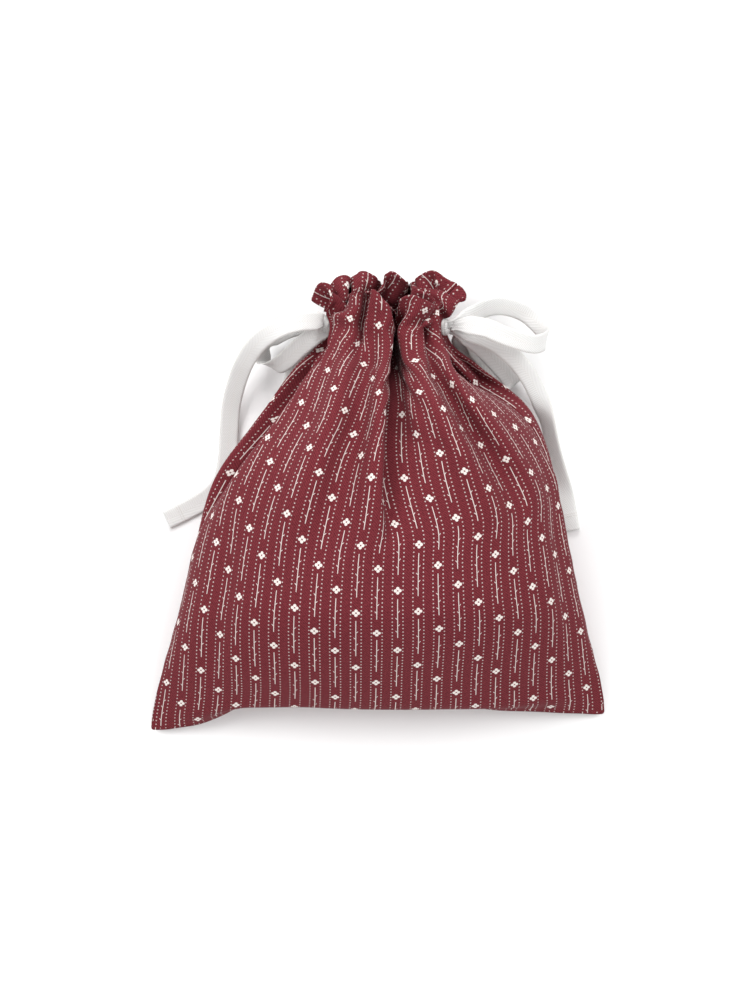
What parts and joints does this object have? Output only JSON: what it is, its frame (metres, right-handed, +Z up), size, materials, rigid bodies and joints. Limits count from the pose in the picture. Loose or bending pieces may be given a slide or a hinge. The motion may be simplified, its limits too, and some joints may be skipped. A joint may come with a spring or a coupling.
{
  "type": "drawstring pouch",
  "caption": "Soft cotton drawstring pouch with sewn panels, a gathered frilled neck and flat cotton tapes tied in a bow at each side, lying on its back.",
  "frame": {"origin": "on the floor under the middle of the pouch's plan, the tapes left out", "axes": "+Y from the bottom seam to the neck, +Z up from the back panel to the front panel, +X to the right as seen from the front"},
  "size_m": [0.2398, 0.2415, 0.0872],
  "materials": {
    "pouch_cloth": "matte printed cotton",
    "cotton_tape": "matte herringbone cotton"
  },
  "bodies": {
    "root": {"front_panel": "pouch_cloth", "back_panel": "pouch_cloth", "left_tape_channel": "cotton_tape", "left_bow_knot": "cotton_tape", "left_loop_front": "cotton_tape", "left_loop_back": "cotton_tape", "left_tail_long": "cotton_tape", "left_tail_under": "cotton_tape", "right_tape_channel": "cotton_tape", "right_bow_knot": "cotton_tape", "right_loop_upper": "cotton_tape", "right_loop_lower": "cotton_tape", "right_tail_outer": "cotton_tape", "right_tail_under": "cotton_tape"}
  },
  "joints": []
}
